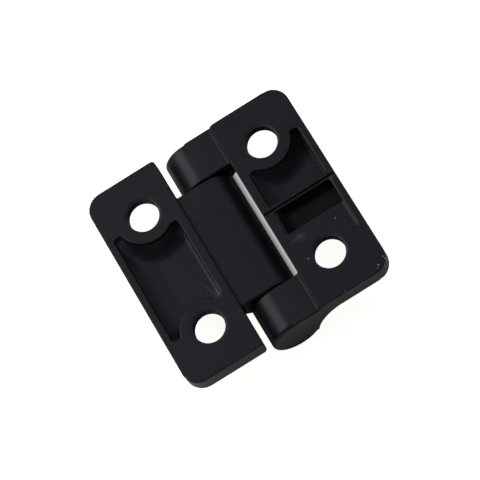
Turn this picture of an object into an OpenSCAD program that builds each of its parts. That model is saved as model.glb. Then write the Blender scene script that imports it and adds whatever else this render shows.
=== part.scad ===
// Surface-mounted door hinge in zinc die casting, 50 x 50 mm, lying on its barrel with both leaves flat.
//
// X runs across the hinge: the door leaf is on -X and the frame leaf on +X.
// Y runs along the pin. The mounting faces look up +Z, and the barrel's lowest line is at z = 0.
// The frame leaf is two castings that meet at mid-length, so that they slide onto the pin from both ends.
// The pin ends in blind bores and can't be seen from outside.

/* [Leaves] */
// Width across both leaves when they lie flat
open_w = 50; // [49:0.5:60]
// Length along the pin
hinge_l = 50; // [48:0.5:60]
// How much shorter the frame leaf is at each end than the door leaf
frame_inset = 0.2; // [0:0.1:0.4]
// Thickness of a leaf
leaf_t = 4.5; // [4.2:0.1:5]
// Distance from the pin's axis to the inner edge of a leaf
inner_x = 7; // [6.8:0.1:7.5]
// Radius of the outer corners of a leaf
corner_r = 4; // [2:0.5:4.5]
// Radius of the inner corners of a leaf
inner_r = 0.7; // [0.4:0.1:1]
// Gap between the two halves of the frame leaf
seam_gap = 0.2; // [0.1:0.05:0.3]

/* [Knuckles] */
// Outer radius of the barrel
barrel_r = 5.8; // [5.6:0.1:5.9]
// Distance from the mounting face to the pin's axis
axis_drop = 6.7; // [6.7:0.1:7.2]
// Length of the middle knuckle, on the door leaf
mid_l = 29.4; // [26:0.2:30]
// Gap between the middle knuckle and each outer one
knuckle_gap = 0.3; // [0.2:0.05:0.5]
// Radius of the hollow that runs from the front of a leaf down to the barrel
sweep_r = 7.6; // [7:0.1:8]
// Rounding at the two free ends of the barrel
end_round = 0.8; // [0.4:0.1:1]
// Rounding at the knuckle ends that face each other
gap_round = 0.3; // [0.1:0.1:0.4]

/* [Screw holes] */
// Distance between the hole rows across the hinge
pitch_x = 30; // [29:0.5:32]
// Distance between the holes along the pin
pitch_y = 30; // [29:0.5:32]
// Radius of a screw hole, loose on an M6 screw
hole_r = 3.5; // [3.2:0.1:3.5]
// Radius of the countersink at the front of a leaf
sink_r = 5.7; // [5.4:0.1:5.8]

/* [Pockets] */
// Radius of the solid boss that is left around a screw hole
boss_r = 6.5; // [6.3:0.1:6.7]
// Depth of the pockets in the back of the leaves
pocket_d = 3; // [2.5:0.1:3.2]
// Width of the rim along the outer edge
outer_rim = 1.7; // [1.4:0.1:2]
// Width of the rim along the inner edge
inner_rim = 2.1; // [1.8:0.1:2.4]
// Wall beside the seam in the upper half
upper_wall = 0.95; // [0.8:0.05:1.2]
// Wall beside the seam in the lower half
lower_wall = 0.65; // [0.5:0.05:0.9]
// Depth of the shallow step in the lower half
step_d = 0.3; // [0.2:0.1:0.6]
// Length of the deep pocket in the lower half, along the pin
deep_l = 5.8; // [5:0.2:7]
// Depth of that deep pocket
deep_d = 3.8; // [3:0.1:3.9]

/* [Pin and bushes] */
// Radius of the pin
pin_r = 2.5; // [2:0.1:2.6]
// How much smaller than the pin the blind bores are, on the radius
press = 0.02; // [0.01:0.005:0.03]
// Depth of the blind bore in an outer knuckle
blind_d = 8; // [6:0.5:8.2]
// Clearance of the pin in the bushes, on the radius
run_gap = 0.05; // [0.02:0.01:0.08]
// Wall thickness of a bush
bush_wall = 0.8; // [0.6:0.1:1]
// Length of a bush's sleeve
bush_l = 8; // [6:0.5:10]
// Radius of a bush's flange
flange_r = 4.6; // [4.2:0.1:4.8]
// Thickness of a bush's flange
flange_t = 1; // [0.8:0.1:1.2]
// How far a flange stands out of the middle knuckle
flange_proud = 0.2; // [0.1:0.02:0.24]

/* [Hidden] */
$fn = 96;

axis_z = barrel_r;
back_z = axis_z + axis_drop;
front_z = back_z - leaf_t;
web_z = axis_z + barrel_r;
half_w = open_w / 2;
half_l = hinge_l / 2;
frame_l = half_l - frame_inset;
hole_x = pitch_x / 2;
hole_y = pitch_y / 2;
mid_end = mid_l / 2;
outer_end = mid_end + knuckle_gap;
sink_d = sink_r - hole_r;

// The sweep is a circle that touches the front of the leaf and cuts the barrel's circle.
sweep_x = 12;
sweep_z = front_z - sweep_r;
sweep_to_axis = norm([sweep_x, sweep_z - axis_z]);
along = (pow(barrel_r, 2) - pow(sweep_r, 2) + pow(sweep_to_axis, 2)) / (2 * sweep_to_axis);
aside = sqrt(pow(barrel_r, 2) - pow(along, 2));
kink_z = axis_z + (along * (sweep_z - axis_z) - aside * sweep_x) / sweep_to_axis;
// The flat of the web starts just past the top of the barrel.
web_x = 0.5;

// Pocket outline, seen from the back
pocket_x0 = inner_x + inner_rim;
pocket_x1 = half_w - outer_rim;
inner_horn_y = 10;
outer_horn_y = 13.6;
horn_w = 4;
horn_r = 0.8;
deep_x0 = pocket_x0 + 0.5;
deep_x1 = pocket_x1 - 0.2;

press_r = pin_r - press;
pin_l = 2 * (outer_end + blind_d) - 1;
bush_bore_r = pin_r + run_gap;
bush_r = bush_bore_r + bush_wall;
seat_r = bush_r - press;
clear_r = pin_r + 0.4;
flange_seat_r = flange_r + 0.1;
flange_sunk = flange_t - flange_proud;
// Cuts run this far past the face that they open.
past = 1;

casting_black = "#26282b";
steel = "#b9bcc0";
bush_white = "#e6e4dc";

// A rectangle from [x0, y0] to [x1, y1] with its own corner radius at each end of X
module round_box(x0, y0, x1, y1, r0, r1) {
    translate([x0, y0 + r0])
        square([x1 - x0 - r1, y1 - y0 - 2 * r0]);
    translate([x0 + r0, y0])
        square([x1 - x0 - r0 - r1, y1 - y0]);
    translate([x0 + r0, y0 + r1])
        square([x1 - x0 - r0, y1 - y0 - 2 * r1]);
    for (y = [y0 + r0, y1 - r0])
        translate([x0 + r0, y])
            circle(r0);
    for (y = [y0 + r1, y1 - r1])
        translate([x1 - r1, y])
            circle(r1);
}

// Plate of one leaf on the +X side, reaching end_y each way along the pin
module leaf_plate(end_y) {
    translate([0, 0, front_z])
        linear_extrude(leaf_t)
            round_box(inner_x, -end_y, half_w, end_y, inner_r, corner_r);
}

// Countersunk screw holes of one leaf on the +X side
module screw_holes() {
    for (y = [-hole_y, hole_y])
        translate([hole_x, y, front_z]) {
            translate([0, 0, -past])
                cylinder(r = hole_r, h = leaf_t + 2 * past);
            cylinder(r1 = sink_r, r2 = hole_r, h = sink_d);
            translate([0, 0, -past])
                cylinder(r = sink_r, h = past);
        }
}

// Outline of the pocket in the back of one leaf on the +X side, with a horn beside each boss
module pocket_outline() {
    difference() {
        union() {
            round_box(pocket_x0, -inner_horn_y, pocket_x1 - horn_w + 1, inner_horn_y, horn_r, horn_r);
            round_box(pocket_x1 - horn_w, -outer_horn_y, pocket_x1, outer_horn_y, horn_r, horn_r);
        }
        for (y = [-hole_y, hole_y])
            translate([hole_x, y])
                circle(boss_r);
    }
}

// Pocket of a given depth, kept between two places along the pin
module pocket(depth, y0, y1) {
    translate([0, 0, back_z - depth])
        linear_extrude(depth + past)
            intersection() {
                pocket_outline();
                translate([0, y0])
                    square([half_w, y1 - y0]);
            }
}

// Cross-section of the web that joins the barrel to the leaf
module web_section() {
    difference() {
        translate([web_x, kink_z])
            square([sweep_x - web_x, web_z - kink_z]);
        translate([sweep_x, sweep_z])
            circle(sweep_r);
    }
}

// Half of the barrel's outline from y0 to y1, with a rounding at each end
module barrel_outline(y0, y1, round0, round1) {
    difference() {
        translate([0, y0])
            square([barrel_r, y1 - y0]);
        translate([barrel_r - round0, y0])
            square(round0);
        translate([barrel_r - round1, y1 - round1])
            square(round1);
    }
    translate([barrel_r - round0, y0 + round0])
        circle(round0);
    translate([barrel_r - round1, y1 - round1])
        circle(round1);
}

// One knuckle with its web, from y0 to y1
module knuckle(y0, y1, round0, round1) {
    translate([0, 0, axis_z])
        rotate([-90, 0, 0])
            rotate_extrude()
                barrel_outline(y0, y1, round0, round1);
    translate([0, y1, 0])
        rotate([90, 0, 0])
            linear_extrude(y1 - y0)
                web_section();
}

// A round cut or a round bar along the pin's axis
module along_pin(y0, y1, r) {
    translate([0, y0, axis_z])
        rotate([-90, 0, 0])
            cylinder(r = r, h = y1 - y0);
}

// Door leaf: one casting with the long middle knuckle, bored through for the pin
module door_leaf() {
    color(casting_black)
        difference() {
            mirror([1, 0, 0]) {
                leaf_plate(half_l);
                knuckle(-mid_end, mid_end, gap_round, gap_round);
            }
            mirror([1, 0, 0]) {
                screw_holes();
                pocket(pocket_d, -half_l, half_l);
            }
            along_pin(-mid_end - past, mid_end + past, clear_r);
            for (side = [0, 1])
                mirror([0, side, 0]) {
                    along_pin(mid_end - flange_sunk - bush_l, mid_end + past, seat_r);
                    along_pin(mid_end - flange_sunk, mid_end + past, flange_seat_r);
                }
        }
}

// What both halves of the frame leaf share, for the half on +Y
module frame_half() {
    difference() {
        union() {
            intersection() {
                leaf_plate(frame_l);
                translate([0, seam_gap / 2, 0])
                    cube([open_w, hinge_l, back_z + past]);
            }
            knuckle(outer_end, frame_l, gap_round, end_round);
        }
        screw_holes();
        along_pin(outer_end - past, outer_end + blind_d, press_r);
    }
}

// Upper half of the frame leaf: a plain pocket up to a wall beside the seam
module frame_leaf_upper() {
    color(casting_black)
        difference() {
            frame_half();
            pocket(pocket_d, seam_gap / 2 + upper_wall, half_l);
        }
}

// Lower half of the frame leaf: a shallow step, and a deep pocket beside the seam
module frame_leaf_lower() {
    deep_y = -seam_gap / 2 - lower_wall;
    color(casting_black)
        difference() {
            mirror([0, 1, 0])
                frame_half();
            pocket(step_d, -half_l, deep_y);
            translate([deep_x0, deep_y - deep_l, back_z - deep_d])
                cube([deep_x1 - deep_x0, deep_l, deep_d + past]);
        }
}

// Stainless pin, pressed into the blind bores of both outer knuckles
module hinge_pin() {
    pin_chamfer = 0.5;
    color(steel)
        translate([0, 0, axis_z])
            rotate([-90, 0, 0])
                rotate_extrude()
                    polygon([
                        [0, -pin_l / 2],
                        [pin_r - pin_chamfer, -pin_l / 2],
                        [pin_r, -pin_l / 2 + pin_chamfer],
                        [pin_r, pin_l / 2 - pin_chamfer],
                        [pin_r - pin_chamfer, pin_l / 2],
                        [0, pin_l / 2]
                    ]);
}

// Flanged bush in the +Y end of the middle knuckle
module bush() {
    flange_y = mid_end - flange_sunk;
    color(bush_white)
        difference() {
            union() {
                along_pin(flange_y - bush_l, flange_y + flange_t, bush_r);
                along_pin(flange_y, flange_y + flange_t, flange_r);
            }
            along_pin(flange_y - bush_l - past, flange_y + flange_t + past, bush_bore_r);
        }
}

module upper_bush() {
    bush();
}

module lower_bush() {
    mirror([0, 1, 0])
        bush();
}

door_leaf();
frame_leaf_upper();
frame_leaf_lower();
hinge_pin();
upper_bush();
lower_bush();
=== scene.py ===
# %% [markdown]
# # A die-cast door hinge
#
# The hinge is three black zinc castings on a hidden steel pin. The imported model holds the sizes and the
# motion. This script gives each casting the soft edges, the draft and the powder coat that a real one has.
# Everything is in metres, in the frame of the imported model: +X runs from the door leaf to the frame leaf,
# +Y runs along the pin, and the mounting faces look up +Z.

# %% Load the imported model
import math

import bmesh
import bpy
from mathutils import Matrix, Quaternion, Vector


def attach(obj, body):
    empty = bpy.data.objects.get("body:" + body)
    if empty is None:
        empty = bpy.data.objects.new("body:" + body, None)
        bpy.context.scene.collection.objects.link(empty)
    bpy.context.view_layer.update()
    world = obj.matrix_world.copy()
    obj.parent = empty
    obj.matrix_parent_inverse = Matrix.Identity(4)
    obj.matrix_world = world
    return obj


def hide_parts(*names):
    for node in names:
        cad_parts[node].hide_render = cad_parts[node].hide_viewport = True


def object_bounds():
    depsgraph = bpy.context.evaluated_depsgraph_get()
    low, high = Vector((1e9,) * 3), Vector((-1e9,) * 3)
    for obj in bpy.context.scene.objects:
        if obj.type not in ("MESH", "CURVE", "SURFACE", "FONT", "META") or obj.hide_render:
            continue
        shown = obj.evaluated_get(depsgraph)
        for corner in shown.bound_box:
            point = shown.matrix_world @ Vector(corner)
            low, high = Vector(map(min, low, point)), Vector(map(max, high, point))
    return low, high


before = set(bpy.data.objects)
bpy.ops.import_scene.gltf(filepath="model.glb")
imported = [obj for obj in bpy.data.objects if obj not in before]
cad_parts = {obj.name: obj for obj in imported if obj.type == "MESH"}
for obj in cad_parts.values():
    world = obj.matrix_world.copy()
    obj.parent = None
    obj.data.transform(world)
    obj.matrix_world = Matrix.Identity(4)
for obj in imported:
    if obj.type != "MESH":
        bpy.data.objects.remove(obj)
cad_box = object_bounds()
MM = 0.001
low, high = (Vector(corner) for corner in cad_box)
print("overall size in mm:", [round(side / MM, 2) for side in high - low])

# %% [markdown]
# ## The camera
#
# The hinge lies on its barrel and is seen from above, tilted towards its lower end, so that the end faces
# show. A long lens keeps the leaves' edges nearly parallel. The camera is placed by its direction, its
# distance and a roll about its own axis, because those are the numbers that a tripod head would change.

# %% Place the camera
VIEW_AZIMUTH = math.radians(3.87)
VIEW_ELEVATION = math.radians(66.68)
VIEW_ROLL = math.radians(-35.5)
VIEW_DISTANCE = 628 * MM
LENS_MM = 221


def place_camera():
    """Aim a long lens at the middle of the mounting faces."""
    aim = Vector((0.17 * MM, -1.87 * MM, high.z))
    flat = math.cos(VIEW_ELEVATION)
    towards = Vector((
        math.sin(VIEW_AZIMUTH) * flat,
        -math.cos(VIEW_AZIMUTH) * flat,
        math.sin(VIEW_ELEVATION),
    ))
    lens = bpy.data.cameras.new("camera")
    lens.lens = LENS_MM
    lens.sensor_width = 36
    lens.clip_start = 0.01
    camera = bpy.data.objects.new("camera", lens)
    camera.location = aim + towards * VIEW_DISTANCE
    camera.rotation_mode = "QUATERNION"
    camera.rotation_quaternion = towards.to_track_quat("Z", "Y") @ Quaternion((0, 0, 1), VIEW_ROLL)
    bpy.context.scene.collection.objects.link(camera)
    bpy.context.scene.camera = camera
    return camera


camera = place_camera()
print("camera at", [round(c, 3) for c in camera.location])

# %% [markdown]
# ## Helpers for materials
#
# Colours are written as the hex values that a colour picker shows. Blender mixes light in linear values,
# so one function converts them. A second function adds a shader node, sets its inputs and links it, which
# keeps each material readable from top to bottom.

# %% Colour and node helpers
def hex_colour(code):
    """Linear RGBA of an sRGB hex colour such as 26282b."""
    values = [int(code[i:i + 2], 16) / 255 for i in (0, 2, 4)]
    linear = [v / 12.92 if v <= 0.04045 else ((v + 0.055) / 1.055) ** 2.4 for v in values]
    return (*linear, 1.0)


def add_node(tree, kind, settings=None, **inputs):
    """Add a node to a tree. An input is a value, or another node's output socket to link from."""
    node = tree.nodes.new(kind)
    for key, value in (settings or {}).items():
        setattr(node, key, value)
    for key, value in inputs.items():
        socket = node.inputs[int(key[1:])] if key[0] == "i" and key[1:].isdigit() else node.inputs[key]
        if isinstance(value, bpy.types.NodeSocket):
            tree.links.new(value, socket)
        else:
            socket.default_value = value
    return node


def new_material(name):
    """A material with an empty tree. Returns the material and its tree."""
    material = bpy.data.materials.new(name)
    material.use_nodes = True
    material.node_tree.nodes.clear()
    return material, material.node_tree


print("dark grey 26282b is", [round(c, 4) for c in hex_colour("26282b")])

# %% [markdown]
# ## Floor and light
#
# The hinge lies on white paper, in a small light tent. One wide softbox hangs half-way up on the door leaf's
# side: it draws the pale band along the outer knuckles. A dimmer ceiling panel keeps the flat faces even.
# White paper as bright as this would throw light up into every dark corner, so the paper is shown to the
# camera only, and the hinge is lit by a real table under it, which its own shadow darkens. The paper's glow
# fades beside the barrel, where it would be in shade. A shallow tray of warm card round the hinge shows only
# in reflections: it lifts the side faces, as bounce cards do in a studio.

# %% Build the table, the tent and the lights
FLOOR_SIDE = 4.0
PAPER_MM = 0.1
PAPER_GLOW = 0.95
TENT_LIGHT = 0.1
CARD_GLOW = 0.15
# The tray is a sheet with a square hole for the hinge and a low wall round it, given as half their sides.
TRAY_HOLE_MM = 25.5
TRAY_MM = 300
TRAY_WALL_MM = 120
BACKDROP_SIDE = 3.9
BACKDROP_HEIGHT = 2.5
# The barrel's shade lies on the side away from the softbox. Along each axis it has a middle, a distance to
# the end of its dark part, and a distance to its outer edge.
SHADE_MM = {"X": (3.0, 2.2, 5.1), "Y": (0.0, 17.0, 21.0)}
EVERY_RAY = {"camera", "diffuse", "glossy", "transmission", "shadow"}


def square_at(half, height):
    """The four corners of a level square about the hinge."""
    return [(-half, -half, height), (half, -half, height), (half, half, height), (-half, half, height)]


def stage_sheet(name, squares, material, seen_by):
    """A sheet that only some kinds of ray can see: one square, or a band from each square to the next."""
    points = [corner for square in squares for corner in square]
    faces = [(0, 1, 2, 3)] if len(squares) == 1 else [
        (start + i, start + (i + 1) % 4, start + 4 + (i + 1) % 4, start + 4 + i)
        for start in range(0, len(points) - 4, 4) for i in range(4)
    ]
    mesh = bpy.data.meshes.new(name)
    mesh.from_pydata(points, [], faces)
    mesh.materials.append(material)
    sheet = bpy.data.objects.new(name, mesh)
    bpy.context.scene.collection.objects.link(sheet)
    for ray in EVERY_RAY - seen_by:
        setattr(sheet, "visible_" + ray, False)


def stage_white(name, colour, glow_colour, glow):
    """A matt white that may also glow, as paper does over a light box."""
    material, tree = new_material(name)
    shade = add_node(tree, "ShaderNodeBsdfPrincipled")
    shade.inputs["Base Color"].default_value = hex_colour(colour)
    shade.inputs["Roughness"].default_value = 0.8
    shade.inputs["Emission Color"].default_value = hex_colour(glow_colour)
    shade.inputs["Emission Strength"].default_value = glow
    add_node(tree, "ShaderNodeOutputMaterial", Surface=shade.outputs[0])
    return material


def shade_under_barrel(material):
    """Let a material's glow fade out along the strip of paper that the barrel keeps in shade."""
    tree = material.node_tree
    place = add_node(tree, "ShaderNodeTexCoord").outputs["Object"]
    sides = add_node(tree, "ShaderNodeSeparateXYZ", Vector=place)
    glows = []
    for axis, (middle, dark, light) in SHADE_MM.items():
        away = add_node(
            tree, "ShaderNodeMath", {"operation": "SUBTRACT"},
            i0=sides.outputs[axis], i1=middle * MM,
        )
        distance = add_node(tree, "ShaderNodeMath", {"operation": "ABSOLUTE"}, i0=away.outputs[0])
        glows.append(add_node(
            tree, "ShaderNodeMapRange",
            i0=distance.outputs[0], i1=dark * MM, i2=light * MM, i3=0.0, i4=PAPER_GLOW,
        ))
    glow = add_node(
        tree, "ShaderNodeMath", {"operation": "MAXIMUM"},
        i0=glows[0].outputs[0], i1=glows[1].outputs[0],
    )
    shade = next(node for node in tree.nodes if node.type == "BSDF_PRINCIPLED")
    tree.links.new(glow.outputs[0], shade.inputs["Emission Strength"])


def make_floor():
    """White paper for the camera, a table for the light, and a tray of card for the reflections."""
    ground = square_at(FLOOR_SIDE / 2, low.z)
    paper = stage_white("white backing paper", "f4f4f2", "fffcf8", PAPER_GLOW)
    shade_under_barrel(paper)
    table = stage_white("pale table laminate", "e2ddd2", "ffffff", 0.0)
    bounce = stage_white("warm bounce card", "f2eee4", "fff3e4", CARD_GLOW)
    stage_sheet("paper_sheet", [ground], paper, {"camera"})
    under = square_at(FLOOR_SIDE / 2, low.z - PAPER_MM * MM)
    stage_sheet("table_top", [under], table, EVERY_RAY - {"camera"})
    foot, head = (square_at(BACKDROP_SIDE / 2, height) for height in (low.z, BACKDROP_HEIGHT))
    stage_sheet("paper_backdrop", [foot, head], paper, {"camera"})
    hole, edge = (square_at(half * MM, low.z) for half in (TRAY_HOLE_MM, TRAY_MM))
    wall = square_at(TRAY_MM * MM, TRAY_WALL_MM * MM)
    stage_sheet("bounce_tray", [hole, edge, wall], bounce, {"glossy"})


def softbox(name, place, size, power, colour):
    """A square area light at a place in metres, aimed at the hinge."""
    light = bpy.data.lights.new(name, "AREA")
    light.shape = "SQUARE"
    light.size = size
    light.energy = power
    light.color = hex_colour(colour)[:3]
    lamp = bpy.data.objects.new(name, light)
    lamp.location = place
    lamp.rotation_mode = "QUATERNION"
    lamp.rotation_quaternion = Vector(place).to_track_quat("Z", "Y")
    bpy.context.scene.collection.objects.link(lamp)


def make_tent():
    """The dim, even walls of the light tent, so that shadows keep some light."""
    world = bpy.data.worlds.new("light tent")
    world.use_nodes = True
    backdrop = world.node_tree.nodes["Background"]
    backdrop.inputs["Color"].default_value = hex_colour("d3e1f2")
    backdrop.inputs["Strength"].default_value = TENT_LIGHT
    bpy.context.scene.world = world


make_floor()
make_tent()
softbox("key_softbox", (-0.53, 0.4, 0.75), 0.7, 4.4, "f7f9ff")
softbox("ceiling_panel", (0.50, 0.42, 0.84), 0.9, 2.15, "dfe9fa")
bpy.context.scene.view_settings.view_transform = "Standard"
print("paper at", round(low.z / MM, 3), "mm")

# %% [markdown]
# ## The castings
#
# A die casting has no sharp edges. The steel die is radiused, its pockets taper so that the part comes
# out, and the powder coat flows round every corner. A Bevel modifier would have to guess its way round
# dozens of edges where arcs, cones and flats meet. A voxel remesh treats the casting as one lump: it
# rebuilds the skin as even quads, and a Smooth modifier then rounds edges and inner corners alike, as the
# coat does. Work is done in millimetres here, because voxel sizes are easier to read that way.

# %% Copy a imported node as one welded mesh
GLB_WELD = 0.0005


def welded_copy(node):
    """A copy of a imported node's mesh in millimetres, with its loose triangles welded."""
    shape = bmesh.new()
    shape.from_mesh(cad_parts[node].data)
    bmesh.ops.scale(shape, vec=(1 / MM,) * 3, verts=shape.verts)
    bmesh.ops.remove_doubles(shape, verts=shape.verts, dist=GLB_WELD)
    return shape


for node in ("door_leaf", "frame_leaf_upper", "frame_leaf_lower"):
    trial = welded_copy(node)
    print(node, len(trial.verts), "vertices, area", round(sum(f.calc_area() for f in trial.faces)), "mm2")
    trial.free()

# %% [markdown]
# ### Where the pockets are
#
# The imported pockets have upright walls and a flat floor, which is all that the motion needs. In a real die
# the floor rises into the walls in wide fillets, widest around the screw bosses, where the metal has to
# flow. Each pocket below is named by its depth, its box and how far the fillet on each side reaches, in
# millimetres. The numbers are kept in one table, because the shape and the painted shade in the pockets
# both ask for them.

# %% Name the pockets and the bosses
BACK_Z = high.z / MM
HOLE_AT = 15.0
BOSS_R = 6.5
HOLE_R = 3.5
# The left, right, near and far fillets stand on the walls at the low X, high X, low Y and high Y side. Each
# boss has its Y and the reach of its fillet. The right wall leans by lean_right at its foot, the rise is how
# much higher the floor is at its far side, and the dull value is how much painted shade darkens the pocket,
# and how matt it looks. A stepped half has the witness step beside its pocket.
POCKETS = {
    "door_leaf": dict(
        depth=3.0, low=(-23.3, -13.6), high=(-9.1, 13.6), lean_right=0.3, rise=0.0,
        left=5.5, right=0.7, near=1.0, far=1.0, bosses=((-HOLE_AT, 0.4), (HOLE_AT, 4.2)),
        shade_and_dull=0.0, stepped=False),
    "frame_leaf_upper": dict(
        depth=3.0, low=(9.1, 1.05), high=(23.3, 13.6), lean_right=0.0, rise=0.0,
        left=5.5, right=0.0, near=0.4, far=1.0, bosses=((HOLE_AT, 4.1),),
        shade_and_dull=0.4, stepped=False),
    "frame_leaf_lower": dict(
        depth=3.8, low=(9.6, -6.55), high=(23.1, -0.75), lean_right=0.0, rise=1.4,
        left=2.5, right=0.0, near=0.6, far=1.2, bosses=(),
        shade_and_dull=0.9, stepped=True),
}
for node, pocket in POCKETS.items():
    print(node, "pocket is", pocket["depth"], "mm deep")

# %% Lean the wall that faces the softbox
FLAT = 0.01


def lean_wall(shape, pocket):
    """Draw the floor's +X edge inwards, so that the wall above it leans out towards the mouth."""
    floor_z = BACK_Z - pocket["depth"]
    (x0, y0), (x1, y1) = pocket["low"], pocket["high"]
    for v in shape.verts:
        inside = x0 - FLAT < v.co.x < x1 + FLAT and y0 - FLAT < v.co.y < y1 + FLAT
        if inside and abs(v.co.z - floor_z) < FLAT:
            v.co.x -= pocket["lean_right"] * (v.co.x - x0) / (x1 - x0)


lean = POCKETS["door_leaf"]["lean_right"] / POCKETS["door_leaf"]["depth"]
print("door leaf wall leans", round(math.degrees(math.atan(lean)), 1), "degrees")

# %% Round the floor up into the walls
WALL_SLACK = 0.25
MOUTH_CLEAR = 0.3
FILLET_HEIGHT = 2.4


def fillet_lift(distance, reach):
    """How high a fillet stands at a distance from its wall. It is a parabola, flat where it ends."""
    if distance >= reach:
        return 0.0
    return min(reach, FILLET_HEIGHT) * (1 - max(distance, 0.0) / reach) ** 2


def wall_distances(x, y, pocket):
    """How far a place is from each wall of a pocket, with the reach of that wall's fillet."""
    (x0, y0), (x1, y1) = pocket["low"], pocket["high"]
    walls = [
        (x - x0, pocket["left"]), (x1 - x, pocket["right"]),
        (y - y0, pocket["near"]), (y1 - y, pocket["far"]),
    ]
    hole_x = math.copysign(HOLE_AT, x)
    for boss_y, reach in pocket["bosses"]:
        walls.append((math.hypot(x - hole_x, y - boss_y) - BOSS_R, reach))
    return walls


def lift_floor(mesh, pocket):
    """Raise a dense mesh's floor points to the fillets. Returns how many moved.

    Where two fillets meet, the root of their squares blends them without a crease.
    """
    floor_z = BACK_Z - pocket["depth"]
    near_y, far_y = pocket["low"][1], pocket["high"][1]
    moved = 0
    for v in mesh.vertices:
        if not floor_z - WALL_SLACK < v.co.z < BACK_Z - WALL_SLACK:
            continue
        walls = wall_distances(v.co.x, v.co.y, pocket)
        if min(distance for distance, _ in walls) < -WALL_SLACK:
            continue
        rise = pocket["rise"] * (v.co.y - near_y) / (far_y - near_y)
        lift = rise + math.hypot(*(fillet_lift(distance, reach) for distance, reach in walls if reach > 0))
        lifted = floor_z + min(lift, pocket["depth"] - MOUTH_CLEAR)
        if lifted > v.co.z:
            v.co.z = lifted
            moved += 1
    return moved


print("a 5.5 mm fillet stands", round(fillet_lift(1.0, 5.5), 2), "mm high at 1 mm from its wall")

# %% Fade the shallow step out
STEP_LOW = (8.8, -14.2)
STEP_HIGH = (23.5, -6.6)
STEP_DEEPEST = 0.45
STEP_FADES = 18.0
STEP_FULL = 22.8


def fade_step(mesh):
    """Ramp the lower half's shallow step up to the back face, away from the outer rim."""
    faded = 0
    for v in mesh.vertices:
        inside = all(a < c < b for a, c, b in zip(STEP_LOW, v.co[:2], STEP_HIGH))
        depth = BACK_Z - v.co.z
        if inside and 0 < depth < STEP_DEEPEST:
            kept = max(0.0, min(1.0, (v.co.x - STEP_FADES) / (STEP_FULL - STEP_FADES)))
            v.co.z = BACK_Z - depth * kept
            faded += 1
    return faded


print("the step fades over", round(STEP_FULL - STEP_FADES, 1), "mm")

# %% [markdown]
# ### Which places are softer, and where the coat is rubbed and highlights are painted
#
# Some edges are rounder than the coat alone would make them: the mouths of the screw holes, and the shallow
# step in the lower half, which is only a witness mark of the die. Hands and screws have also rubbed the coat
# along a few rims, on one wall of the door leaf's pocket, and lightly on the outer knuckles. The same marks
# paint highlights where these places catch the light: on that wall, which faces the softbox, along the rims,
# on the outer knuckles, and at a spot by the shallow step. Both are short lists in millimetres, and both end
# up in the mesh: the first as a vertex group for a second Smooth modifier, the second as an attribute that
# the material reads.

# %% Name the eased zones, the rubbed rims and the painted highlights
EASED_STEP = ((8.4, -14.6, 11.5), (22.4, -6.2, 12.6))
EASED_MOUTH = 0.9
# Each mark runs from one point to another, with its reach in millimetres and its strength at both ends. The
# notes say how much of each is rubbed coat and how much is painted highlight.
RUBS_AND_HIGHLIGHTS = {
    "door_leaf": [
        # The next two: the wall of the door leaf's pocket that faces the softbox, a painted highlight
        # brightest at its lower end, with some rubbed coat.
        ((-9.4, 8.0, 10.9), (-9.5, -9.0, 10.9), 1.7, 0.4, 0.9),
        ((-9.7, -9.7, 10.8), (-9.5, -8.0, 10.9), 2.0, 1.8, 1.2),
    ],
    "frame_leaf_upper": [
        # A thin line along the rim: partly rubbed coat, partly painted highlight.
        ((23.4, 13.0, 12.5), (23.4, 1.5, 12.5), 0.35, 0.25, 0.25),
        # The outer knuckle: a light grey that is partly handling wear and partly paints a brighter highlight
        # along it.
        ((-2.0, 15.5, 11.5), (-2.0, 24.5, 11.5), 7.0, 0.05, 0.05),
    ],
    "frame_leaf_lower": [
        # The next two: lines along the rim and at its corner, partly rubbed coat and partly painted
        # highlight.
        ((23.4, -1.0, 12.5), (23.4, -12.5, 12.5), 0.5, 0.2, 0.1),
        ((23.2, -0.9, 12.4), (23.9, -0.6, 12.5), 0.5, 0.5, 0.5),
        # A painted highlight at the edge of the shallow step.
        ((9.8, -8.8, 12.4), (11.4, -8.3, 12.4), 0.7, 0.4, 0.4),
        # The outer knuckle: a light grey that is partly handling wear and partly paints a brighter highlight
        # along it.
        ((-2.0, -15.5, 11.5), (-2.0, -24.5, 11.5), 7.0, 0.04, 0.04),
    ],
}


def in_box(point, box):
    """True if a point is inside a box given by its two corners."""
    return all(a < c < b for a, c, b in zip(box[0], point, box[1]))


def near_mouth(point):
    """True if a point is close to the back edge of a screw hole."""
    across = math.hypot(abs(point.x) - HOLE_AT, abs(point.y) - HOLE_AT)
    return abs(across - HOLE_R) < EASED_MOUTH and point.z > BACK_Z - EASED_MOUTH


def rub_and_highlight_at(point, rubs_and_highlights):
    """How strong the rubbed coat and the painted highlight are at a point, from 0 to 1."""
    worst = 0.0
    for start, end, reach, at_start, at_end in rubs_and_highlights:
        start, end = Vector(start), Vector(end)
        along = max(0.0, min(1.0, (point - start).dot(end - start) / (end - start).length_squared))
        distance = (point - start.lerp(end, along)).length
        strength = at_start + (at_end - at_start) * along
        worst = max(worst, strength * max(0.0, 1.0 - distance / reach))
    return worst


print("rubbed rims:", sum(len(rubs_and_highlights) for rubs_and_highlights in RUBS_AND_HIGHLIGHTS.values()))

# %% Remesh and soften a casting
VOXEL_MM = 0.16
SOFT_PASSES = 5
EASE_PASSES = 50
KEEP_FACES = 0.45
PLAIN_WALL = 0.7
# Painted shade in the pockets, and their matt look, grow over this depth below the back face.
SHADE_AND_DULL_FROM = 1.5


def modified(thing, *modifiers):
    """Give an object the mesh that its modifiers make, and remove them."""
    mesh = bpy.data.meshes.new_from_object(thing.evaluated_get(bpy.context.evaluated_depsgraph_get()))
    thing.data = mesh
    for modifier in modifiers:
        thing.modifiers.remove(modifier)
    return mesh


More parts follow.
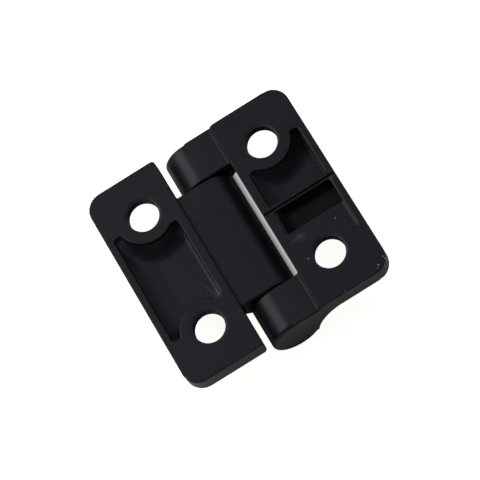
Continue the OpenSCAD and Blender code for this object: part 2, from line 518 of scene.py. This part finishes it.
def remeshed(thing):
    """Rebuild an object's skin as even quads."""
    remesh = thing.modifiers.new("skin", "REMESH")
    remesh.mode = "VOXEL"
    remesh.voxel_size = VOXEL_MM
    return modified(thing, remesh)


def smooth_group(thing, name, passes, chosen):
    """Smooth only the chosen points of an object."""
    group = thing.vertex_groups.new(name=name)
    group.add(chosen, 1.0, "REPLACE")
    smooth = thing.modifiers.new(name, "SMOOTH")
    smooth.factor = 0.5
    smooth.iterations = passes
    smooth.vertex_group = group.name
    return smooth


def plain_corner(point, pocket):
    """True at the foot of a wall without a fillet, which stays sharp."""
    if pocket["right"] > 0:
        return False
    on_wall = abs(point.x - pocket["high"][0]) < PLAIN_WALL
    beside = pocket["low"][1] < point.y < pocket["high"][1]
    return on_wall and beside and point.z < BACK_Z - PLAIN_WALL


def point_values(mesh, name, values):
    """Store one number per point, for a material to read."""
    mesh.attributes.new(name, "FLOAT", "POINT").data.foreach_set("value", values)


def cast_skin(node, name):
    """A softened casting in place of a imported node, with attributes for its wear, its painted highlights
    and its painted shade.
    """
    pocket = POCKETS[node]
    shape = welded_copy(node)
    lean_wall(shape, pocket)
    mesh = bpy.data.meshes.new(name)
    shape.to_mesh(mesh)
    shape.free()
    casting = bpy.data.objects.new(name, mesh)
    bpy.context.scene.collection.objects.link(casting)

    dense = remeshed(casting)
    moved = lift_floor(dense, pocket)
    if pocket["stepped"]:
        moved += fade_step(dense)
    hard = remeshed(casting)
    points = [v.co.copy() for v in hard.vertices]
    coated = [i for i, point in enumerate(points) if not plain_corner(point, pocket)]
    eased = [
        i for i, point in enumerate(points)
        if near_mouth(point) or (pocket["stepped"] and in_box(point, EASED_STEP))
    ]
    soft = modified(
        casting,
        smooth_group(casting, "coat", SOFT_PASSES, coated),
        smooth_group(casting, "eased", EASE_PASSES, eased),
    )
    point_values(soft, "edge", [
        max(0.0, (point - v.co).dot(v.normal)) / VOXEL_MM for point, v in zip(points, soft.vertices)
    ])
    # Rubbed coat and painted highlights, from the listed marks.
    point_values(soft, "rubbed_and_highlit", [rub_and_highlight_at(v.co, RUBS_AND_HIGHLIGHTS[node]) for v in soft.vertices])
    # Painted shade: the pockets get darker and rougher below the back face, scaled by the pocket's dull
    # value.
    point_values(soft, "recess_shade_and_dull", [
        pocket["shade_and_dull"] * max(0.0, min(1.0, (BACK_Z - v.co.z) / SHADE_AND_DULL_FROM))
        * (in_box(v.co, ((*pocket["low"], 0.0), (*pocket["high"], BACK_Z)))) for v in soft.vertices
    ])

    thin = casting.modifiers.new("thin", "DECIMATE")
    thin.ratio = KEEP_FACES
    final = modified(casting, thin)
    for vertex in final.vertices:
        vertex.co *= MM
    final.shade_smooth()
    triangles = sum(len(polygon.vertices) - 2 for polygon in final.polygons)
    print(name, "moved", moved, "floor points, and has", triangles, "triangles")
    return casting


door = cast_skin("door_leaf", "door_leaf_casting")
upper = cast_skin("frame_leaf_upper", "frame_leaf_upper_casting")
lower = cast_skin("frame_leaf_lower", "frame_leaf_lower_casting")

# %% [markdown]
# ### Powder coat
#
# The castings are powder coated: a polyester powder that is sprayed on dry and melts in an oven. It dries
# to a satin black with a very fine orange peel. A noise at the size of the orange peel drives the bump, and
# a slower one varies the tone and the sheen. A point attribute paints shade into the pockets: it darkens
# their colour, more deeply lower down and in the pockets given a higher value, and it also makes them
# rougher. Outer edges and rubbed rims go grey, partly as wear and partly as painted highlight. A few small
# chips show bare zinc, and one more such spot is a painted glint.

# %% Powder coat material
PEEL_MM = 0.35
CLOUD_MM = 9
MARK_GRAIN_MM = 0.5
RAGGED_MM = 0.25
SPOT_WOBBLE_MM = 0.5
# Each chip, and the one painted glint among them, has a place and a size in millimetres.
CHIPS_AND_GLINT = [
    (24.3, -23.0, 12.4, 0.25), (24.1, -22.3, 12.5, 0.18), (22.3, -23.4, 12.5, 0.20),
    (21.8, -23.9, 12.5, 0.16), (13.4, -24.6, 12.4, 0.17), (10.5, -13.8, 12.5, 0.17),
    # On the next line, the spot at 19.9, -9.1 is a painted glint at the edge of the shallow step, and the
    # other spot is a chip.
    (19.9, -9.1, 12.4, 0.16), (-24.6, -22.2, 12.4, 0.15),
]


def chip_and_glint_mask(tree, place):
    """One at the chips and at the painted glint, made from each spot's distance with a ragged outline."""
    ragged = add_node(tree, "ShaderNodeTexNoise", Vector=place, Scale=1 / (RAGGED_MM * MM), Detail=3.0)
    wobble = add_node(
        tree, "ShaderNodeVectorMath", {"operation": "MULTIPLY_ADD"},
        i0=ragged.outputs["Color"], i1=(SPOT_WOBBLE_MM * MM,) * 3, i2=(-SPOT_WOBBLE_MM * MM / 2,) * 3,
    )
    moved = add_node(tree, "ShaderNodeVectorMath", {"operation": "ADD"}, i0=place, i1=wobble.outputs[0])
    mask = None
    for x, y, z, size in CHIPS_AND_GLINT:
        centre = (x * MM, y * MM, z * MM)
        gap = add_node(
            tree, "ShaderNodeVectorMath", {"operation": "DISTANCE"},
            i0=moved.outputs[0], i1=centre,
        )
        spot = add_node(
            tree, "ShaderNodeMapRange",
            i0=gap.outputs["Value"], i1=size * MM, i2=0.75 * size * MM, i3=0.0, i4=1.0,
        )
        if mask is None:
            mask = spot
        else:
            mask = add_node(
                tree, "ShaderNodeMath", {"operation": "MAXIMUM"},
                i0=mask.outputs[0], i1=spot.outputs[0],
            )
    return mask.outputs[0]


def powder_coat():
    """Satin black polyester powder coat on zinc."""
    material, tree = new_material("black polyester powder coat")
    place = add_node(tree, "ShaderNodeTexCoord").outputs["Object"]
    peel = add_node(
        tree, "ShaderNodeTexNoise",
        Vector=place, Scale=1 / (PEEL_MM * MM), Detail=3.0, Roughness=0.6,
    )
    cloud = add_node(
        tree, "ShaderNodeTexNoise",
        Vector=place, Scale=1 / (CLOUD_MM * MM), Detail=4.0, Roughness=0.55,
    )
    grain = add_node(tree, "ShaderNodeTexNoise", Vector=place, Scale=1 / (MARK_GRAIN_MM * MM), Detail=4.0)
    edge, rubbed_and_highlit, recess_shade_and_dull = (
        add_node(tree, "ShaderNodeAttribute", {"attribute_name": name}).outputs["Fac"]
        for name in ("edge", "rubbed_and_highlit", "recess_shade_and_dull")
    )
    chips_and_glint = chip_and_glint_mask(tree, place)

    black = add_node(
        tree, "ShaderNodeMix", {"data_type": "RGBA"},
        i0=cloud.outputs["Fac"], i6=hex_colour("0f1114"), i7=hex_colour("1c1f23"),
    )
    # Painted shade: the recess value darkens the pockets' colour towards 08090b.
    painted_recess_shade = add_node(
        tree, "ShaderNodeMix", {"data_type": "RGBA"},
        i0=recess_shade_and_dull, i6=black.outputs[2], i7=hex_colour("08090b"),
    )
    # Outer edges go towards grey, partly as wear and partly as a painted highlight along the rims.
    edge_wear_and_highlight = add_node(tree, "ShaderNodeMapRange", i0=edge, i1=0.2, i2=1.2, i3=0.0, i4=0.38)
    worn_and_highlit = add_node(tree, "ShaderNodeMath", {"operation": "MAXIMUM"}, i0=edge_wear_and_highlight.outputs[0], i1=rubbed_and_highlit)
    patchy = add_node(tree, "ShaderNodeMapRange", i0=grain.outputs["Fac"], i1=0.35, i2=0.6, i3=0.5, i4=1.0)
    wear_and_highlight = add_node(
        tree, "ShaderNodeMath", {"operation": "MULTIPLY"},
        i0=worn_and_highlit.outputs[0], i1=patchy.outputs[0],
    )
    # Wear and painted highlight lighten the coat towards grey 75767a, broken up by the grain.
    coat = add_node(
        tree, "ShaderNodeMix", {"data_type": "RGBA"},
        i0=wear_and_highlight.outputs[0], i6=painted_recess_shade.outputs[2], i7=hex_colour("75767a"),
    )
    # Bare zinc 9a9a95 at the chips, and a painted glint at the spot by the shallow step.
    surface = add_node(
        tree, "ShaderNodeMix", {"data_type": "RGBA"},
        i0=chips_and_glint, i6=coat.outputs[2], i7=hex_colour("9a9a95"),
    )
    sheen = add_node(tree, "ShaderNodeMapRange", i0=cloud.outputs["Fac"], i1=0.3, i2=0.7, i3=0.33, i4=0.40)
    rough = add_node(
        tree, "ShaderNodeMath", {"operation": "MULTIPLY_ADD"},
        i0=recess_shade_and_dull, i1=0.3, i2=sheen.outputs[0],
    )
    bump = add_node(tree, "ShaderNodeBump", Strength=0.35, Distance=0.02 * MM, Height=peel.outputs["Fac"])
    shade = add_node(
        tree, "ShaderNodeBsdfPrincipled",
        i0=surface.outputs[2], i1=chips_and_glint, i2=rough.outputs[0], Normal=bump.outputs[0],
    )
    shade.inputs["IOR"].default_value = 1.5
    shade.inputs["Specular IOR Level"].default_value = 0.25
    add_node(tree, "ShaderNodeOutputMaterial", Surface=shade.outputs[0])
    return material


coat = powder_coat()
for piece, node, body in (
    (door, "door_leaf", "door"),
    (upper, "frame_leaf_upper", "frame"),
    (lower, "frame_leaf_lower", "frame"),
):
    piece.data.materials.clear()
    piece.data.materials.append(coat)
    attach(piece, body)
    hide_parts(node)
print(coat.name, "has", len(coat.node_tree.nodes), "nodes and", len(CHIPS_AND_GLINT), "chips_and_glint")

# %% [markdown]
# ## The hinge pin
#
# The pin is ground steel rod, cut to length and chamfered on a lathe. A straight knurl is rolled into both
# ends, so that they grip the blind bores of the two outer castings. The shaft is an outline spun about the
# axis. The ridges repeat, so a Geometry Nodes tree lays them out: bars with a diamond section, half sunk in
# the shaft, one for each point of a circle. Changing the number of ridges is then one input.

# %% Spin an outline about the pin's axis
AXIS_Z = 5.8
CORNER_STEPS = 3


def rounded(outline, reach):
    """Replace the inner corners of an outline by short curves that start at a reach from each corner."""
    points = [Vector(outline[0])]
    for before, corner, after in zip(outline, outline[1:], outline[2:]):
        corner = Vector(corner)
        start = corner + (Vector(before) - corner).normalized() * reach
        end = corner + (Vector(after) - corner).normalized() * reach
        for step in range(CORNER_STEPS + 1):
            share = step / CORNER_STEPS
            points.append(start.lerp(corner, share).lerp(corner.lerp(end, share), share))
    return points + [Vector(outline[-1])]


def lathed(name, outline, sections):
    """A solid of revolution from an outline of positions along the axis and radii, in millimetres."""
    turned = bmesh.new()
    rim = [turned.verts.new((0.0, along * MM, (AXIS_Z + radius) * MM)) for along, radius in outline]
    edges = [turned.edges.new(pair) for pair in zip(rim, rim[1:])]
    bmesh.ops.spin(
        turned, geom=rim + edges, cent=(0.0, 0.0, AXIS_Z * MM), axis=(0.0, 1.0, 0.0),
        angle=math.tau, steps=sections,
    )
    bmesh.ops.remove_doubles(turned, verts=turned.verts, dist=0.001 * MM)
    bmesh.ops.recalc_face_normals(turned, faces=turned.faces)
    mesh = bpy.data.meshes.new(name)
    turned.to_mesh(mesh)
    turned.free()
    mesh.shade_smooth()
    body = bpy.data.objects.new(name, mesh)
    bpy.context.scene.collection.objects.link(body)
    return body


PIN_HALF = 22.5
SHAFT_R = 2.5
ROOT_R = 2.42
PIN_OUTLINE = [
    (-PIN_HALF, 0.0), (-PIN_HALF, 2.0), (-22.0, ROOT_R), (-15.6, ROOT_R), (-15.3, SHAFT_R),
    (15.3, SHAFT_R), (15.6, ROOT_R), (22.0, ROOT_R), (PIN_HALF, 2.0), (PIN_HALF, 0.0),
]
pin = lathed("ground_pin", rounded(PIN_OUTLINE, 0.06), 64)
print("the shaft has", len(pin.data.polygons), "faces")

# %% A node tree for the straight knurl
RIDGES = 32
RIDGE_INPUTS = {
    "Ridges": ("NodeSocketInt", RIDGES),
    "Root Radius": ("NodeSocketFloat", ROOT_R * MM),
    "Ridge Height": ("NodeSocketFloat", (SHAFT_R - ROOT_R) * MM),
    "Half Width": ("NodeSocketFloat", 0.2 * MM),
    "Length": ("NodeSocketFloat", 5.4 * MM),
    "Middle": ("NodeSocketFloat", 18.7 * MM),
    "Axis Height": ("NodeSocketFloat", AXIS_Z * MM),
    "Metal": ("NodeSocketMaterial", None),
}


def knurl_tree():
    """Straight ridges round both ends of a shaft. Returns the tree."""
    tree = bpy.data.node_groups.new("straight_knurl", "GeometryNodeTree")
    tree.interface.new_socket("Geometry", in_out="INPUT", socket_type="NodeSocketGeometry")
    for name, (kind, _) in RIDGE_INPUTS.items():
        tree.interface.new_socket(name, in_out="INPUT", socket_type=kind)
    tree.interface.new_socket("Geometry", in_out="OUTPUT", socket_type="NodeSocketGeometry")
    given = add_node(tree, "NodeGroupInput").outputs

    circle = add_node(
        tree, "GeometryNodeMeshCircle",
        Vertices=given["Ridges"], Radius=given["Root Radius"],
    )
    bar = add_node(tree, "GeometryNodeMeshCylinder", Vertices=4, Radius=1.0, Depth=given["Length"])
    section = add_node(
        tree, "ShaderNodeCombineXYZ",
        X=given["Ridge Height"], Y=given["Half Width"], Z=1.0,
    )
    flat_bar = add_node(
        tree, "GeometryNodeTransform",
        Geometry=bar.outputs["Mesh"], Scale=section.outputs[0],
    )
    outwards = add_node(
        tree, "FunctionNodeAlignRotationToVector", {"axis": "X", "pivot_axis": "Z"},
        Vector=add_node(tree, "GeometryNodeInputPosition").outputs[0],
    )
    ring = add_node(
        tree, "GeometryNodeInstanceOnPoints",
        Points=circle.outputs[0], Instance=flat_bar.outputs[0], Rotation=outwards.outputs[0],
    )
    ends = add_node(tree, "GeometryNodeJoinGeometry")
    for side in (1.0, -1.0):
        along = add_node(tree, "ShaderNodeMath", {"operation": "MULTIPLY"}, i0=given["Middle"], i1=side)
        place = add_node(tree, "ShaderNodeCombineXYZ", Y=along.outputs[0], Z=given["Axis Height"])
        laid = add_node(
            tree, "GeometryNodeTransform",
            Geometry=ring.outputs[0], Translation=place.outputs[0], Rotation=(math.pi / 2, 0.0, 0.0),
        )
        tree.links.new(laid.outputs[0], ends.inputs[0])
    tree.links.new(given["Geometry"], ends.inputs[0])
    real = add_node(tree, "GeometryNodeRealizeInstances", Geometry=ends.outputs[0])
    coated = add_node(tree, "GeometryNodeSetMaterial", Geometry=real.outputs[0], Material=given["Metal"])
    add_node(tree, "NodeGroupOutput", Geometry=coated.outputs[0])
    return tree


knurl = knurl_tree()
print("the knurl tree has", len(knurl.nodes), "nodes")

# %% [markdown]
# ### Ground stainless steel
#
# Centreless grinding leaves fine rings round the pin. Each ring is a small change in height and sheen that
# depends only on the position along the axis, so a one-dimensional noise of Y draws them all.

# %% Ground steel material and the finished pin
# Real grinding rings are about 0.01 mm apart, too fine to see, so they are drawn coarser.
RING_MM = 0.06


def ground_steel():
    """Bright stainless steel with grinding rings about the Y axis."""
    material, tree = new_material("ground stainless steel")
    place = add_node(tree, "ShaderNodeTexCoord").outputs["Object"]
    sides = add_node(tree, "ShaderNodeSeparateXYZ", Vector=place)
    rings = add_node(
        tree, "ShaderNodeTexNoise", {"noise_dimensions": "1D"},
        W=sides.outputs["Y"], Scale=1 / (RING_MM * MM), Detail=3.0,
    )
    tone = add_node(
        tree, "ShaderNodeMix", {"data_type": "RGBA"},
        i0=rings.outputs["Fac"], i6=hex_colour("b4b3b0"), i7=hex_colour("c6c5c2"),
    )
    sheen = add_node(tree, "ShaderNodeMapRange", i0=rings.outputs["Fac"], i1=0.3, i2=0.7, i3=0.2, i4=0.32)
    bump = add_node(tree, "ShaderNodeBump", Strength=0.2, Distance=0.005 * MM, Height=rings.outputs["Fac"])
    shade = add_node(
        tree, "ShaderNodeBsdfPrincipled",
        i0=tone.outputs[2], i2=sheen.outputs[0], Metallic=1.0, Normal=bump.outputs[0],
    )
    add_node(tree, "ShaderNodeOutputMaterial", Surface=shade.outputs[0])
    return material


def add_knurl(thing, metal):
    """Run the knurl tree on a shaft and keep the mesh that it makes."""
    ridged = thing.modifiers.new("knurl", "NODES")
    ridged.node_group = knurl
    for item in knurl.interface.items_tree:
        if item.in_out == "INPUT" and item.name in RIDGE_INPUTS:
            ridged[item.identifier] = metal if item.name == "Metal" else RIDGE_INPUTS[item.name][1]
    mesh = modified(thing, ridged)
    mesh.materials.clear()
    mesh.materials.append(metal)
    mesh.polygons.foreach_set("material_index", [0] * len(mesh.polygons))
    return mesh


steel = ground_steel()
pin_mesh = add_knurl(pin, steel)
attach(pin, "frame")
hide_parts("hinge_pin")
print("the pin has", len(pin_mesh.polygons), "faces of", pin_mesh.materials[0].name)

# %% [markdown]
# ## The bearing bushes
#
# Two flanged bushes line the door leaf's knuckle, so that zinc never rubs on steel. They are injection
# moulded in black acetal, a slippery plastic that needs no oil. Moulded corners are never sharp, and the
# sleeve has a lead-in chamfer so that it can be pressed home. Both are turned outlines, mirrored.

# %% Moulded acetal and the two bushes
MOULD_GRAIN_MM = 0.12
FLOW_MM = 4
BUSH_CORNER = 0.12
# Each point is a distance from the middle of the hinge and a radius. The outline ends where it starts.
BUSH_OUTLINE = [
    (10.0, 2.55), (5.9, 2.55), (5.9, 3.1), (6.3, 3.35), (13.9, 3.35),
    (13.9, 4.6), (14.9, 4.6), (14.9, 2.55), (10.0, 2.55),
]


def moulded_acetal():
    """Black acetal, satin from the mould, with a trace of the plastic's flow."""
    material, tree = new_material("black moulded acetal")
    place = add_node(tree, "ShaderNodeTexCoord").outputs["Object"]
    grain = add_node(tree, "ShaderNodeTexNoise", Vector=place, Scale=1 / (MOULD_GRAIN_MM * MM), Detail=2.0)
    flow = add_node(tree, "ShaderNodeTexNoise", Vector=place, Scale=1 / (FLOW_MM * MM), Distortion=1.5)
    tone = add_node(
        tree, "ShaderNodeMix", {"data_type": "RGBA"},
        i0=flow.outputs["Fac"], i6=hex_colour("161719"), i7=hex_colour("222326"),
    )
    sheen = add_node(tree, "ShaderNodeMapRange", i0=flow.outputs["Fac"], i1=0.3, i2=0.7, i3=0.42, i4=0.52)
    bump = add_node(tree, "ShaderNodeBump", Strength=0.2, Distance=0.01 * MM, Height=grain.outputs["Fac"])
    shade = add_node(
        tree, "ShaderNodeBsdfPrincipled",
        i0=tone.outputs[2], i2=sheen.outputs[0], Normal=bump.outputs[0],
    )
    shade.inputs["IOR"].default_value = 1.48
    add_node(tree, "ShaderNodeOutputMaterial", Surface=shade.outputs[0])
    return material


acetal = moulded_acetal()
for node, side in (("upper_bush", 1), ("lower_bush", -1)):
    outline = [(side * along, radius) for along, radius in rounded(BUSH_OUTLINE, BUSH_CORNER)]
    bush = lathed(node + "_moulding", outline, 64)
    bush.data.materials.append(acetal)
    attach(bush, "door")
    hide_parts(node)
    print(bush.name, "has", len(bush.data.polygons), "faces")
